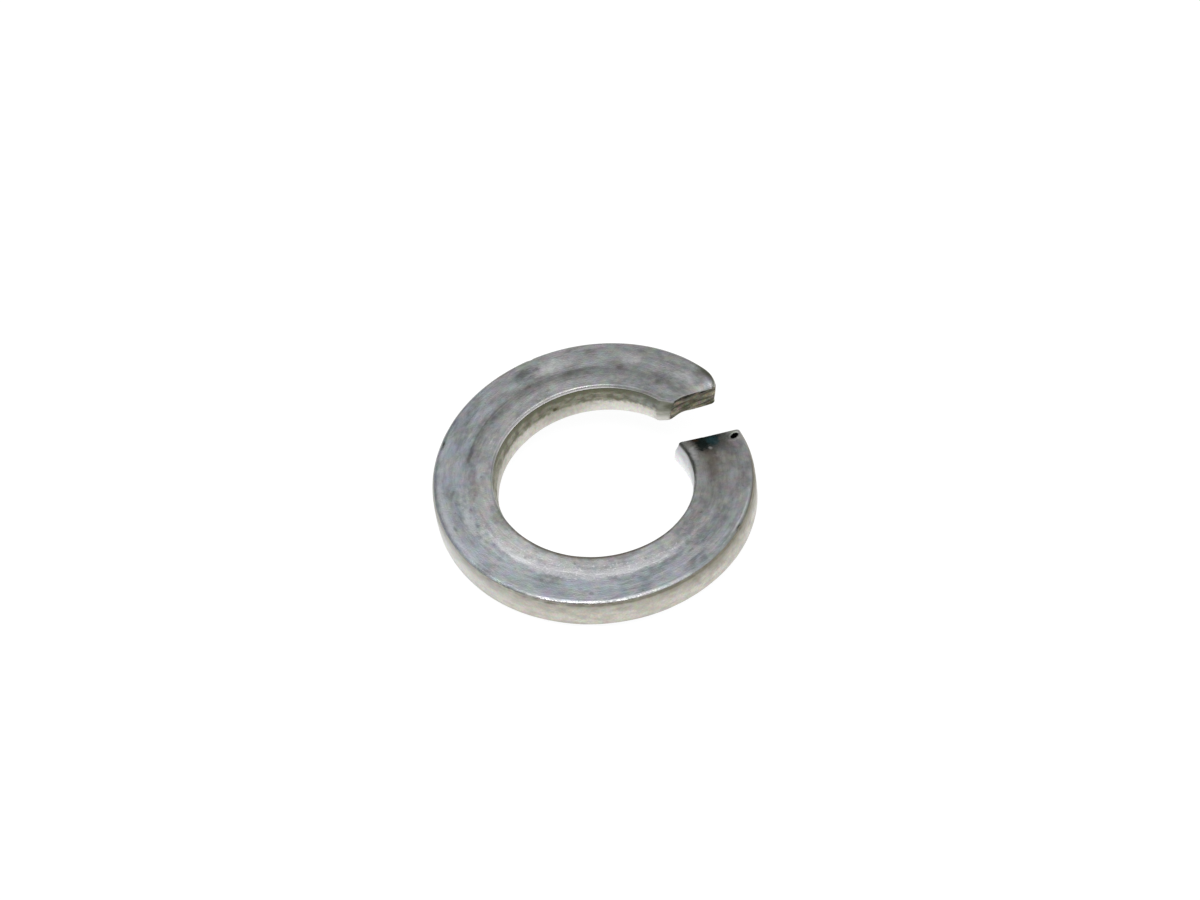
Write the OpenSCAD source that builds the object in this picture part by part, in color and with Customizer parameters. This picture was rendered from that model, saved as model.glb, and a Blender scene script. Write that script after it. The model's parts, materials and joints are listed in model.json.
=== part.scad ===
// Spring lock washer for a 10 mm thread, in millimetres, +Z up.
// One turn of flat-sided steel wire is coiled on its edge into a left-hand helix and
// sheared through, so that its two ends stand apart, one above the other.
// The washer lies on a level surface as it comes to rest there, so the axis of its hole
// leans a little. The origin is on that axis, halfway up the free washer.

/* [Ring] */
// Diameter of the hole
bore_d = 10.7; // [8:0.1:14]
// Width of the wire, from the hole to the outside
wire_w = 3.5; // [2.5:0.1:5]
// Thickness of the wire, between its two flat faces
wire_t = 1.95; // [1.4:0.05:2.6]
// Radius of the wire's four long edges
edge_r = 0.25; // [0.05:0.01:0.35]

/* [Spring] */
// Height of the free washer along its axis, from its lowest edge to its highest
free_h = 4.55; // [3.5:0.05:6]

/* [Cut] */
// Gap between the two ends, along the middle of the wire
gap_w = 1.1; // [0.5:0.1:2.5]
// Place of the gap round the ring, counterclockwise from +X
gap_angle = 34; // [0:1:359]
// Turn of the cut away from a radius, seen from above
cut_skew = 17.5; // [0:0.5:25]
// Lean of the cut away from upright, which makes the upper tip overhang
cut_lean = 15; // [0:1:20]
// How far the shear draws the upper tip's outer corner in
corner_draw = 0.4; // [0:0.05:0.6]
// Length of the wire that the corner is drawn over
draw_length = 1.2; // [0.6:0.1:3]

/* [Hidden] */
steel = [0.62, 0.64, 0.65];

// Stations along the wire, points on an outer edge's quarter turn, facets of the hole
stations = 120;
edge_steps = 3;
bore_facets = 180;
// How far a shape runs into or past the hole that is cut from it
bore_sink = 0.05;
cut_past = 1;
// Arc, in degrees, over which a slanted end eases back to a square section
ease_arc = 40;

bore_r = bore_d / 2;
mid_r = bore_r + wire_w / 2;
rise = free_h - wire_t;
gap_arc = gap_w / mid_r * 180 / PI;
wire_arc = 360 - gap_arc;

// Slopes of the cut's plane along the radius and up the wire
skew_slope = -tan(cut_skew);
lean_slope = -tan(cut_lean);

// Rises from 0 to 1 with level ends
function ease(x) = let (c = min(max(x, 0), 1)) c * c * (3 - 2 * c);

// Points of one rounded edge, round the centre [u, v], from one angle to another
function edge_arc(u, v, from, to) =
    let (count = round(abs(to - from) / 90 * edge_steps))
    [for (i = [0:count]) let (a = from + (to - from) * i / count)
        [u + edge_r * cos(a), v + edge_r * sin(a)]];

// Section of the wire: u runs outward from the hole's wall, v up from mid thickness.
// The inner edges stop one step short of the wall and run on, straight, into the hole,
// so that the hole's cylinder cuts the section at a clear angle.
last_step = 90 / edge_steps;
sink_u = edge_r * (1 - cos(last_step)) + bore_sink;
sink_v = wire_t / 2 - edge_r * (1 - sin(last_step)) - sink_u / tan(last_step / 2);
edge_v = wire_t / 2 - edge_r;
section = concat(
    edge_arc(wire_w - edge_r, edge_v, 0, 90),
    edge_arc(edge_r, edge_v, 90, 180 - last_step),
    [[-bore_sink, sink_v], [-bore_sink, -sink_v]],
    edge_arc(edge_r, -edge_v, 180 + last_step, 270),
    edge_arc(wire_w - edge_r, -edge_v, 270, 360)
);

// Angle from the end's own station to the cut's plane, at radius r and height v
function cut_angle(r, v) =
    let (reach = r * sqrt(1 + skew_slope * skew_slope))
    atan(skew_slope) + asin((lean_slope * v - skew_slope * mid_r) / reach);

// Share of the cut's slant that a section takes, after an arc from the upper end
function slant(arc) = ease(1 - arc / ease_arc) + ease(1 - (wire_arc - arc) / ease_arc);

// Share of its width that the wire keeps, after an arc from the upper end. The corner is
// drawn in on a curve that is steepest at the cut.
function width_kept(arc) =
    let (left = max(1 - arc * PI / 180 * mid_r / draw_length, 0))
    1 - corner_draw / wire_w * left * left;

// Place of a section's point [u, v], after an arc from the upper end
function wire_point(arc, p) =
    let (
        r = bore_r + p[0] * width_kept(arc),
        a = gap_angle + gap_arc / 2 + arc + slant(arc) * cut_angle(r, p[1])
    )
    [r * cos(a), r * sin(a), free_h - wire_t / 2 - rise * arc / wire_arc + p[1]];

// Rest. The washer lies on the inner corner of its lower tip and, right across the ring,
// on its outer edge. Measured on the upright washer, the surface under it climbs from the
// first to the second, and where it touches the second it falls as the helix does.
tip_r = bore_r + edge_r;
tip_angle = gap_angle - gap_arc / 2 + cut_angle(tip_r, -wire_t / 2);
far_r = bore_r + wire_w - edge_r;
far_angle = tip_angle + 180;
far_arc = far_angle - gap_angle - gap_arc / 2;
climb = rise * (1 - far_arc / wire_arc) / (tip_r + far_r);
fall = rise / (wire_arc * PI / 180) / far_r;
surface_slope = [
    climb * cos(far_angle) + fall * sin(far_angle),
    climb * sin(far_angle) - fall * cos(far_angle)
];
rest_lean = atan(norm(surface_slope));
rest_axis = [-surface_slope[1], surface_slope[0], 0];

// The wire from end to end, its section swept down the helix
module coil() {
    n = len(section);
    points = [for (i = [0:stations]) for (p = section) wire_point(wire_arc * i / stations, p)];
    sides = [for (i = [0:stations - 1]) for (j = [0:n - 1])
        let (a = i * n + j, b = i * n + (j + 1) % n)
        each [[a, b, b + n], [a, b + n, a + n]]];
    upper_end = [for (j = [n - 1:-1:0]) j];
    lower_end = [for (j = [0:n - 1]) stations * n + j];
    polyhedron(points, concat(sides, [upper_end, lower_end]));
}

module bore() {
    translate([0, 0, -cut_past])
        cylinder(d = bore_d, h = free_h + 2 * cut_past, $fn = bore_facets);
}

module washer() {
    color(steel)
        rotate(a = rest_lean, v = rest_axis)
            translate([0, 0, -free_h / 2])
                difference() {
                    coil();
                    bore();
                }
}

washer();
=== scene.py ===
# %% [markdown]
# # A spring lock washer
#
# The washer is one turn of steel wire, flat on all four sides, coiled on its edge and then
# sheared through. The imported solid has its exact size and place. This lesson puts the
# workshop's finish on it: one finely divided mesh that follows the same helix, with the dished
# faces, worn edges, dents and torn ends of the real wire, and three finishes made of nodes.

import json
import math

import bpy
import numpy as np
from mathutils import Matrix, Vector


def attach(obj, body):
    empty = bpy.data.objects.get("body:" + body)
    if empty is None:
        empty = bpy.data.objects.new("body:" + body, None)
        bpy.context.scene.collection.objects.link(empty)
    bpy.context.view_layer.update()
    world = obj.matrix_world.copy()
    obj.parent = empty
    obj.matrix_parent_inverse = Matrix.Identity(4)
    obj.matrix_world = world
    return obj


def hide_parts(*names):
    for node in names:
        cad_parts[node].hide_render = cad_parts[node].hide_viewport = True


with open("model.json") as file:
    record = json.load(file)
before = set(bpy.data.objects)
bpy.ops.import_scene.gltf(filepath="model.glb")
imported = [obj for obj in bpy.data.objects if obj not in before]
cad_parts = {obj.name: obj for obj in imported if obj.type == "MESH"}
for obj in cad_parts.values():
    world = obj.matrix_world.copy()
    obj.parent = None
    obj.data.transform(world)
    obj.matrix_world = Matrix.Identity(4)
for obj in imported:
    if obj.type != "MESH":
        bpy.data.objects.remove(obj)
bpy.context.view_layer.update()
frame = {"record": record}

# %% [markdown]
# ## The washer's own numbers
#
# A mesh that is to lie exactly on the solid needs the same few driving sizes. The hole's
# radius, its axis and the free height come from the record of the frame. The wire's own sizes
# and the cut's angles are written here once, in millimetres and degrees.

# %% Sizes of the wire and its cut
MM = 0.001
hole = frame["record"]["mounts"][0]
BORE_R = hole["dims"]["r_mm"]
FREE_H = hole["dims"]["length_mm"]
WIRE_W = 3.5
WIRE_T = 1.95
EDGE_R = 0.25
GAP_W = 1.1
GAP_ANGLE = 34
CUT_SKEW = 17.5
CUT_LEAN = 15
CORNER_DRAW = 0.4
DRAW_LENGTH = 1.2
EASE_ARC = 40

HALF_T = WIRE_T / 2
MID_R = BORE_R + WIRE_W / 2
RISE = FREE_H - WIRE_T
GAP_ARC = math.degrees(GAP_W / MID_R)
WIRE_ARC = 360 - GAP_ARC
WIRE_LENGTH = math.radians(WIRE_ARC) * MID_R
print(f"wire {WIRE_LENGTH:.2f} mm long, hole {2 * BORE_R:.1f} mm, free height {FREE_H:.2f} mm")

# %% [markdown]
# ## The helix
#
# Every point of the wire has three coordinates of its own: how far along the wire it lies from
# the upper end, how far across from the hole's wall, and how high above mid thickness. One
# function turns them into a place on the left-hand helix. Near both ends it turns the section
# into the plane of the slanted cut. The finish is laid out in the same three coordinates, so
# that streaks run along the wire wherever it bends.

# %% From the wire's coordinates to a place
def ease(x):
    """Rises from 0 to 1 with level ends."""
    c = np.clip(x, 0, 1)
    return c * c * (3 - 2 * c)


def wire_point(along, across, high):
    """Places on the upright washer, in millimetres, with the hole's axis as Z."""
    skew = -math.tan(math.radians(CUT_SKEW))
    lean = -math.tan(math.radians(CUT_LEAN))
    arc = np.degrees(along / MID_R)
    kept = 1 - CORNER_DRAW / WIRE_W * np.clip(1 - along / DRAW_LENGTH, 0, 1) ** 2
    r = BORE_R + across * kept
    slant = ease(1 - arc / EASE_ARC) + ease(1 - (WIRE_ARC - arc) / EASE_ARC)
    cut = math.atan(skew) + np.arcsin((lean * high - skew * MID_R) / (r * math.hypot(1, skew)))
    turn = np.radians(GAP_ANGLE + GAP_ARC / 2 + arc) + slant * cut
    z = FREE_H / 2 - HALF_T - RISE * arc / WIRE_ARC + high
    return np.stack(np.broadcast_arrays(r * np.cos(turn), r * np.sin(turn), z), -1)


REST_TURN = np.array(Vector((0, 0, 1)).rotation_difference(Vector(hole["axis"])).to_matrix())


def lay_down(points):
    """Leans the upright washer over to its rest on the table, in metres."""
    return points @ REST_TURN.T * MM


print("upper tip's outer corner:", lay_down(wire_point(0.0, WIRE_W, HALF_T)))

# %% [markdown]
# ## The camera
#
# The photograph looks down on the washer from a good distance, so the lens is long. The camera
# is set by its azimuth, its elevation and its distance from the point that it looks at, and a
# slight roll is left in, as in the photograph.

# %% Camera
CAMERA_AZIMUTH = 0.390
CAMERA_ELEVATION = 48.551
CAMERA_ROLL = -0.600
CAMERA_DISTANCE = 312.31
CAMERA_AIM = (0.323, 1.467, 1.248)
CAMERA_LENS = 170.72
CAMERA_SENSOR = 36
CAMERA_CLIP = (0.01, 10)


def make_camera():
    data = bpy.data.cameras.new("camera")
    data.lens = CAMERA_LENS
    data.sensor_width = CAMERA_SENSOR
    data.clip_start, data.clip_end = CAMERA_CLIP
    azimuth = math.radians(CAMERA_AZIMUTH)
    elevation = math.radians(CAMERA_ELEVATION)
    level = math.cos(elevation)
    back = Vector((math.sin(azimuth) * level, -math.cos(azimuth) * level, math.sin(elevation)))
    right = Vector((0, 0, 1)).cross(back).normalized()
    turn = Matrix((right, back.cross(right), back)).transposed().to_4x4()
    camera = bpy.data.objects.new("camera", data)
    place = (Vector(CAMERA_AIM) + back * CAMERA_DISTANCE) * MM
    camera.matrix_world = (
        Matrix.Translation(place) @ turn @ Matrix.Rotation(math.radians(CAMERA_ROLL), 4, "Z")
    )
    bpy.context.scene.collection.objects.link(camera)
    bpy.context.scene.camera = camera
    return camera


camera = make_camera()
print("camera at", tuple(round(x, 4) for x in camera.matrix_world.translation))

# %% [markdown]
# ## The section of the wire
#
# The section is a rectangle with rounded corners. Its outline is drawn as four sides, each from
# the middle of one rounded edge to the middle of the next, because the finish changes there:
# rolled faces above and below, walls inside and outside. Points crowd on the edges, which is
# where a highlight shows every flat.

# %% Outline of the section
EDGE_STEPS = 4
FACE_STEPS = 48
WALL_STEPS = 22


def half_edge(centre, start, end):
    """Points and directions outward on half of a rounded edge, both ends included."""
    angle = np.radians(np.linspace(start, end, EDGE_STEPS + 1))
    outward = np.stack([np.cos(angle), np.sin(angle)], -1)
    return np.array(centre) + EDGE_R * outward, outward


def section_side(first, second, start, steps):
    """One side of the outline, between the centres of two rounded edges, without its last point."""
    head, head_out = half_edge(first, start, start + 45)
    tail, tail_out = half_edge(second, start + 45, start + 90)
    share = np.linspace(0, 1, steps + 1)[1:-1, None]
    flat = head[-1] * (1 - share) + tail[0] * share
    flat_out = np.repeat(head_out[-1:], len(flat), 0)
    return np.vstack([head, flat, tail[:-1]]), np.vstack([head_out, flat_out, tail_out[:-1]])


def section_outline():
    """Points and outward directions of the whole outline: top, inner wall, bottom, outer wall."""
    u = WIRE_W - EDGE_R
    v = HALF_T - EDGE_R
    corners = [(u, v), (EDGE_R, v), (EDGE_R, -v), (u, -v)]
    steps = [FACE_STEPS, WALL_STEPS] * 2
    sides = [
        section_side(corners[i], corners[(i + 1) % 4], 45 + 90 * i, steps[i]) for i in range(4)
    ]
    return np.vstack([s[0] for s in sides]), np.vstack([s[1] for s in sides])


outline, outward = section_outline()
print(len(outline), "points round the section")

# %% [markdown]
# ## Stations along the wire
#
# The sweep needs a ring of points every so often. Shear marks crowd at the two ends, so the
# stations lie closer there: their spacing grows with the distance from the nearer end.

# %% Stations
STATIONS = 520
END_SPACING = 0.012
MID_SPACING = 0.08
SPACING_GROWTH = 0.05
FINE_PLACES = 20001


def stations():
    """Distances along the wire, crowded towards both ends."""
    fine = np.linspace(0, WIRE_LENGTH, FINE_PLACES)
    from_end = np.minimum(fine, WIRE_LENGTH - fine)
    spacing = np.minimum(MID_SPACING, END_SPACING + SPACING_GROWTH * from_end)
    count = np.concatenate([[0], np.cumsum(np.diff(fine) / spacing[:-1])])
    return np.interp(np.linspace(0, count[-1], STATIONS), count, fine)


along = stations()
print(f"station spacing {np.diff(along).min():.3f} to {np.diff(along).max():.3f} mm")

# %% [markdown]
# ## Relief
#
# Rolled wire is never quite flat. The inner part of each face stands a little proud of the
# rest, because coiling squeezes it, and a shallow step runs where the two bands meet. The outer
# wall is slightly full, with a fine groove under its upper edge. The hole's wall has a ridge at
# mid height, above which it leans back. Seeded noise adds the waves that blur what the steel
# reflects. Each relief is a depth along the section's outward direction, in millimetres.

# %% Smooth noise
def noise(seed, x, y):
    """Smooth noise from -1 to 1 with one cell a unit, for x and y from 0 up."""
    x, y = np.broadcast_arrays(x, y)
    table = np.random.default_rng(seed).uniform(-1, 1, (int(x.max()) + 2, int(y.max()) + 2))
    i = x.astype(int)
    j = y.astype(int)
    s = ease(x - i)
    t = ease(y - j)
    near = table[i, j] * (1 - s) + table[i + 1, j] * s
    far = table[i, j + 1] * (1 - s) + table[i + 1, j + 1] * s
    return near * (1 - t) + far * t


def waves(seed, layers, x, y=0, other_side=0):
    """Layers of noise: a height, a length, a width, and how far off the other side's cells lie."""
    return sum(
        height * noise(seed + k, x / length + shift * other_side, y / width)
        for k, (height, length, width, shift) in enumerate(layers)
    )


# %% Relief of the faces and walls
STEP_AT = 1.4
STEP_WIDTH = 0.16
STEP_DEPTH = 0.016
STEP_SEED = 11
STEP_WANDER = [(0.12, 1.7, 1, 0), (0.05, 0.4, 1, 0)]
FACE_SEED = 13
FACE_WAVES = [(0.009, 2.4, 1.1, 50), (0.004, 0.8, 0.4, 50), (0.0015, 0.25, 0.16, 200)]
WALL_SEED = 16
WALL_WAVES = [(0.007, 1.5, 0.7, 50), (0.003, 0.4, 0.2, 50)]
BAND_DISH = 0.03
RIDGE_HIGH = 0.04
RIDGE_LEAN = 0.2
RIDGE_SOFTNESS = 0.35
RIDGE_SEED = 19
RIDGE_WANDER = [(0.06, 0.9, 1, 0), (0.02, 0.3, 1, 0)]
WALL_FULLNESS = 0.035
GROOVE_BELOW_TOP = 0.2
GROOVE_WIDTH = 0.045
GROOVE_DEPTH = 0.03
GROOVE_SHARE = 0.7
GROOVE_SEED = 18
GROOVE_WANDER = [(0.5, 2.2, 1, 0)]


def bell(x, width):
    return np.exp(-((x / width) ** 2))


def face_relief(s, u, v):
    """The step between the two bands, the dish of the inner one and the rolling's waves."""
    wander = waves(STEP_SEED, STEP_WANDER, s)
    step = -STEP_DEPTH * ease((u - STEP_AT - wander) / STEP_WIDTH)
    dish = BAND_DISH * np.clip(1 - u / STEP_AT, 0, 1)
    return step + dish + waves(FACE_SEED, FACE_WAVES, s, u, v <= 0)


def wall_relief(s, u, v):
    """The waves that both walls have."""
    return waves(WALL_SEED, WALL_WAVES, s, v + HALF_T, u <= MID_R - BORE_R)


def outer_relief(s, v):
    """A full wall, with a groove below its upper edge that comes and goes."""
    full = -WALL_FULLNESS * (v / HALF_T) ** 2
    depth = GROOVE_DEPTH * (GROOVE_SHARE + waves(GROOVE_SEED, GROOVE_WANDER, s))
    return full - depth * bell(v - HALF_T + GROOVE_BELOW_TOP, GROOVE_WIDTH)


def inner_relief(s, v):
    """The upper part of the hole's wall leans back from a ragged ridge."""
    ridge = RIDGE_HIGH + waves(RIDGE_SEED, RIDGE_WANDER, s)
    climb = np.clip((v - ridge) / (HALF_T - RIDGE_HIGH), 0, 1)
    return -RIDGE_LEAN * climb * ease(climb / RIDGE_SOFTNESS)


# %% [markdown]
# ## Marks of the shear
#
# The shear pulls the steel before it parts. At the upper end the top face rolls down into the
# cut, most at its outer corner. The underside is drawn up in a hollow near the hole and ends in a
# burr at the outer edge. By the lower end the top face dips a little. All cut edges are slightly
# round. Nicks in the outer edge and a punched pit by the lower end are bumps of the same kind.
# The upper end's corner at the hole is broken off to a facet: there the whole section is
# squeezed outward.

# %% Relief near the cut
ROLL_LENGTH = 0.5
ROLL_DEPTH = 0.24
ROLL_FROM = 1.1
ROLL_WIDTH = 2.2
HOLLOW_AT = 1.15
HOLLOW_WIDTH = 0.55
HOLLOW_LENGTH = 1.6
HOLLOW_DEPTH = 0.17
BURR_LENGTH = 0.9
BURR_DEPTH = 0.16
BURR_FROM = 1.7
BURR_WIDTH = 1.8
BURR_OUTSIDE = 0.5
FACET_LENGTH = 0.44
FACET_SLANT = 0.2
FACET_WIDTH = 0.52
FACET_CURVE = 1.6
FACET_BULGE = 0.16
BULGE_WIDTH = 0.45
CUT_EDGE_R = 0.05
LOWER_DIP_AT = (42.9, 1.5)
LOWER_DIP_REACH = (0.5, 0.7)
LOWER_DIP_DEPTH = 0.05


def shear_relief(s, u, top, bottom, outer):
    """Roll-over, hollow and burr at the upper end, and a shallow dip at the lower one."""
    roll = ROLL_DEPTH * ease((u - ROLL_FROM) / ROLL_WIDTH) * np.clip(1 - s / ROLL_LENGTH, 0, 1) ** 2
    hollow = HOLLOW_DEPTH * bell(u - HOLLOW_AT, HOLLOW_WIDTH) * ease(1 - s / HOLLOW_LENGTH)
    drawn = ease((u - BURR_FROM) / BURR_WIDTH) + BURR_OUTSIDE * outer
    burr = BURR_DEPTH * drawn * ease(1 - s / BURR_LENGTH)
    dip = LOWER_DIP_DEPTH * bell(s - LOWER_DIP_AT[0], LOWER_DIP_REACH[0])
    dip = dip * bell(u - LOWER_DIP_AT[1], LOWER_DIP_REACH[1])
    return -top * (roll + dip) - bottom * (hollow - burr)


def squeeze(s, u, v):
    """The section's width coordinate, squeezed outward by the facet, which is longer at its top."""
    length = FACET_LENGTH + FACET_SLANT * v / HALF_T
    facet = FACET_WIDTH * np.clip(1 - s / length, 0, 1) ** FACET_CURVE
    return facet + u * (1 - facet / WIRE_W)


def bulge(s, u):
    """How far the steel beside the facet stands out beyond the cut, along the wire."""
    return -FACET_BULGE * bell(u - FACET_WIDTH, BULGE_WIDTH) * ease(1 - s / FACET_LENGTH)


def edge_round(s):
    """How far a cut edge of small radius draws the section in, near either end."""
    from_end = np.minimum(s, WIRE_LENGTH - s)
    rest = np.clip(1 - from_end / CUT_EDGE_R, 0, 1)
    return -CUT_EDGE_R * (1 - np.sqrt(1 - rest**2))


# %% Nicks and the pit
PIT_AT = (43.12, 3.0)
PIT_LENGTH = 0.27
PIT_WIDTH = 0.13
PIT_TURN = 32
PIT_DEPTH = 0.18
PIT_WALL = 1.25
PIT_RIM_AT = 1.5
PIT_RIM_WIDTH = 0.35
PIT_RIM_HEIGHT = 0.02
NICKS = [(36.75, 0.11, 0.11), (15.40, 0.16, 0.05), (24.8, 0.12, 0.04), (9.2, 0.10, 0.03)]


def pit_distance(s, u):
    """1 on the rim of the oval pit, less inside it."""
    turn = math.radians(PIT_TURN)
    ds = s - PIT_AT[0]
    du = u - PIT_AT[1]
    length = (du * math.cos(turn) + ds * math.sin(turn)) / PIT_LENGTH
    width = (ds * math.cos(turn) - du * math.sin(turn)) / PIT_WIDTH
    return np.hypot(length, width)


def small_marks(s, u, top, edge):
    """The pit with its raised rim, and nicks in the outer edge."""
    d = pit_distance(s, u)
    pit = -PIT_DEPTH * ease(PIT_WALL - d) + PIT_RIM_HEIGHT * bell(d - PIT_RIM_AT, PIT_RIM_WIDTH)
    nicks = sum(-depth * bell(s - at, length) for at, length, depth in NICKS)
    return top * pit + edge * (u > WIRE_W / 2) * nicks


# %% [markdown]
# ## The swept mesh
#
# The outline is repeated at every station, moved in or out by the relief, and sent through the
# helix. That gives one long tube of quads. The mesh also carries two values for the finish: the
# wire's own coordinates, and how near a point is to the middle of a rounded edge.

# %% Rings of points
def relief(s, point, out):
    """All relief at distances s for the section's points, each given with its direction outward."""
    u = point[:, 0]
    v = point[:, 1]
    top = np.clip(out[:, 1], 0, 1)
    bottom = np.clip(-out[:, 1], 0, 1)
    outer = np.clip(out[:, 0], 0, 1)
    inner = np.clip(-out[:, 0], 0, 1)
    edge = 2 * np.maximum(outer, inner) * top
    depth = (top + bottom) * face_relief(s, u, v) + (outer + inner) * wall_relief(s, u, v)
    depth = depth + outer * outer_relief(s, v) + inner * inner_relief(s, v)
    depth = depth + shear_relief(s, u, top, bottom, outer) + small_marks(s, u, top, edge)
    return depth + edge_round(s)


s = along[:, None]
depth = relief(s, outline, outward)
rings_u = squeeze(s, outline[:, 0] + depth * outward[:, 0], outline[:, 1])
rings_v = outline[:, 1] + depth * outward[:, 1]
rings = wire_point(s + bulge(s, rings_u), rings_u, rings_v)
print(f"relief from {depth.min():.3f} to {depth.max():.3f} mm on {rings.shape[:2]} points")

# %% [markdown]
# ## The two torn ends
#
# A shear cuts the first part of the wire cleanly and tears the rest, which leaves ridges across
# the end. Each end is a grid stretched between the four sides of the last ring, as a net is
# stretched in a frame, and ridges are pressed into it. The grid shares the ring's own points,
# so that the whole washer is one closed skin.

# %% A net across one end
TOP_STEPS = FACE_STEPS + 2 * EDGE_STEPS
SIDE_STEPS = WALL_STEPS + 2 * EDGE_STEPS


def ring_net():
    """Indices of the ring's points on the border of the net, and -1 inside it."""
    n = 2 * (TOP_STEPS + SIDE_STEPS)
    net = np.full((TOP_STEPS + 1, SIDE_STEPS + 1), -1)
    net[:, 0] = np.arange(TOP_STEPS + 1)
    net[-1, :] = np.arange(SIDE_STEPS + 1) + TOP_STEPS
    net[::-1, -1] = np.arange(TOP_STEPS + 1) + TOP_STEPS + SIDE_STEPS
    net[0, ::-1] = (np.arange(SIDE_STEPS + 1) + 2 * TOP_STEPS + SIDE_STEPS) % n
    return net


def stretched(net, ring):
    """The section's points on the net, spread evenly between its four sides."""
    a = np.linspace(0, 1, net.shape[0])[:, None, None]
    b = np.linspace(0, 1, net.shape[1])[None, :, None]
    border = ring[np.maximum(net, 0)]
    ends = border[:1] * (1 - a) + border[-1:] * a
    sides = border[:, :1] * (1 - b) + border[:, -1:] * b
    corners = (border[:1, :1] * (1 - a) + border[-1:, :1] * a) * (1 - b) + (
        border[:1, -1:] * (1 - a) + border[-1:, -1:] * a
    ) * b
    grid = ends + sides - corners
    return np.where((net >= 0)[..., None], border, grid)


# %% Ridges of the tear
TEAR_DEPTH = 0.035
TEAR_LEVEL = 0.6
TEAR_WAVES = [(1.0, 1.6, 0.26, 0), (0.5, 0.8, 0.12, 0), (0.5, 0.9, 0.5, 0)]
END_SEEDS = (31, 41)
INWARD_STEP = 0.05
BORDER_STEPS = 3


def tear(seed, u, v):
    """Depth of the torn surface: long ridges across the wire, finer ones on them, broad dents."""
    return TEAR_DEPTH * (waves(seed, TEAR_WAVES, u, v + HALF_T) - TEAR_LEVEL)


def make_end(at, seed, net):
    """Places and section coordinates of the net across the end at one station."""
    ring = np.stack([rings_u[at], rings_v[at]], -1)
    grid = stretched(net, ring)
    u = grid[..., 0]
    v = grid[..., 1]
    place = along[at] + bulge(along[at], u)
    flat = wire_point(place, u, v)
    inward = wire_point(place + (INWARD_STEP if at == 0 else -INWARD_STEP), u, v) - flat
    inward /= np.linalg.norm(inward, axis=-1, keepdims=True)
    a = np.arange(net.shape[0])[:, None]
    b = np.arange(net.shape[1])[None, :]
    from_border = np.minimum(np.minimum(a, net.shape[0] - 1 - a), np.minimum(b, net.shape[1] - 1 - b))
    depth = -tear(seed, np.clip(u, 0, WIRE_W), np.clip(v, -HALF_T, HALF_T))
    depth = depth * ease(from_border / BORDER_STEPS)
    return flat + inward * depth[..., None], u, v


net = ring_net()
ends = [make_end(at, seed, net) for at, seed in zip((0, -1), END_SEEDS)]
print("each end has", net.size, "points")

# %% [markdown]
# ## One closed mesh
#
# The tube and the two ends are put together by index. The signed volume is printed: its sign
# tells whether all faces look outward.

# %% Join the tube and the ends
ROLLED, WALL, TORN = 0, 1, 2


def tube_faces(count, n):
    """Quads between neighbouring rings, and the finish of each."""
    i, j = np.meshgrid(np.arange(count - 1), np.arange(n), indexing="ij")
    k = (j + 1) % n
    quads = np.stack([i * n + j, (i + 1) * n + j, (i + 1) * n + k, i * n + k], -1)
    on_face = (j < TOP_STEPS) | ((j >= TOP_STEPS + SIDE_STEPS) & (j < 2 * TOP_STEPS + SIDE_STEPS))
    return quads.reshape(-1, 4), np.where(on_face, ROLLED, WALL).ravel()


def end_faces(net, ring_start, first_free, flip):
    """Quads of a net whose border is a ring, and the net with the mesh's own indices."""
    index = np.where(net >= 0, net + ring_start, -1)
    inside = index < 0
    index[inside] = first_free + np.arange(inside.sum())
    quads = np.stack([index[:-1, :-1], index[1:, :-1], index[1:, 1:], index[:-1, 1:]], -1)
    quads = quads.reshape(-1, 4)
    return (quads[:, ::-1] if flip else quads), inside


def closed_washer():
    """Vertices, their wire coordinates and edge values, quads, and the quads' finishes."""
    n = len(outline)
    places = [rings.reshape(-1, 3)]
    wire = [np.stack(np.broadcast_arrays(s, outline[:, 0], outline[:, 1]), -1).reshape(-1, 3)]
    edge = [np.tile(2 * np.abs(outward[:, 0] * outward[:, 1]), STATIONS)]
    quads, finish = tube_faces(STATIONS, n)
    quads = [quads]
    finish = [finish]
    for (points, u, v), at, flip in zip(ends, (0, STATIONS - 1), (False, True)):
        first_free = sum(len(p) for p in places)
        made, inside = end_faces(net, at * n, first_free, flip)
        places.append(points[inside])
        wire.append(np.stack([np.full(inside.sum(), along[at]), u[inside], v[inside]], -1))
        edge.append(np.zeros(inside.sum()))
        quads.append(made)
        finish.append(np.full(len(made), TORN))
    return tuple(np.concatenate(x) for x in (places, wire, edge, quads, finish))


def signed_volume(points, quads):
    a, b, c, d = (points[quads[:, i]] for i in range(4))
    return (np.sum(np.cross(a, b) * c) + np.sum(np.cross(a, c) * d)) / 6


points, wire, edge, quads, finish = closed_washer()
print(f"{len(quads)} quads, volume {signed_volume(points, quads):.1f} mm3")

# %% The washer's object
def make_washer():
    mesh = bpy.data.meshes.new("lock_washer")
    mesh.from_pydata(lay_down(points), [], quads)
    mesh.update()
    mesh.polygons.foreach_set("material_index", finish)
    mesh.polygons.foreach_set("use_smooth", np.ones(len(quads), bool))
    mesh.attributes.new("wire_place", "FLOAT_VECTOR", "POINT").data.foreach_set("vector", wire.ravel())
    mesh.attributes.new("edge_place", "FLOAT", "POINT").data.foreach_set("value", edge)
    washer = bpy.data.objects.new("lock_washer", mesh)
    bpy.context.scene.collection.objects.link(washer)
    return washer


washer = make_washer()
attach(washer, "root")
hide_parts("washer")
print("washer's size:", tuple(round(x / MM, 3) for x in washer.dimensions), "mm")

# %% [markdown]
# ## Building blocks for the finishes
#
# A node tree is easier to read when each node is one short line. These helpers add a node, set
# its values or link them, and return the socket that the next node reads. A node goes into the
# tree of the sockets that it reads itself.

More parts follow.
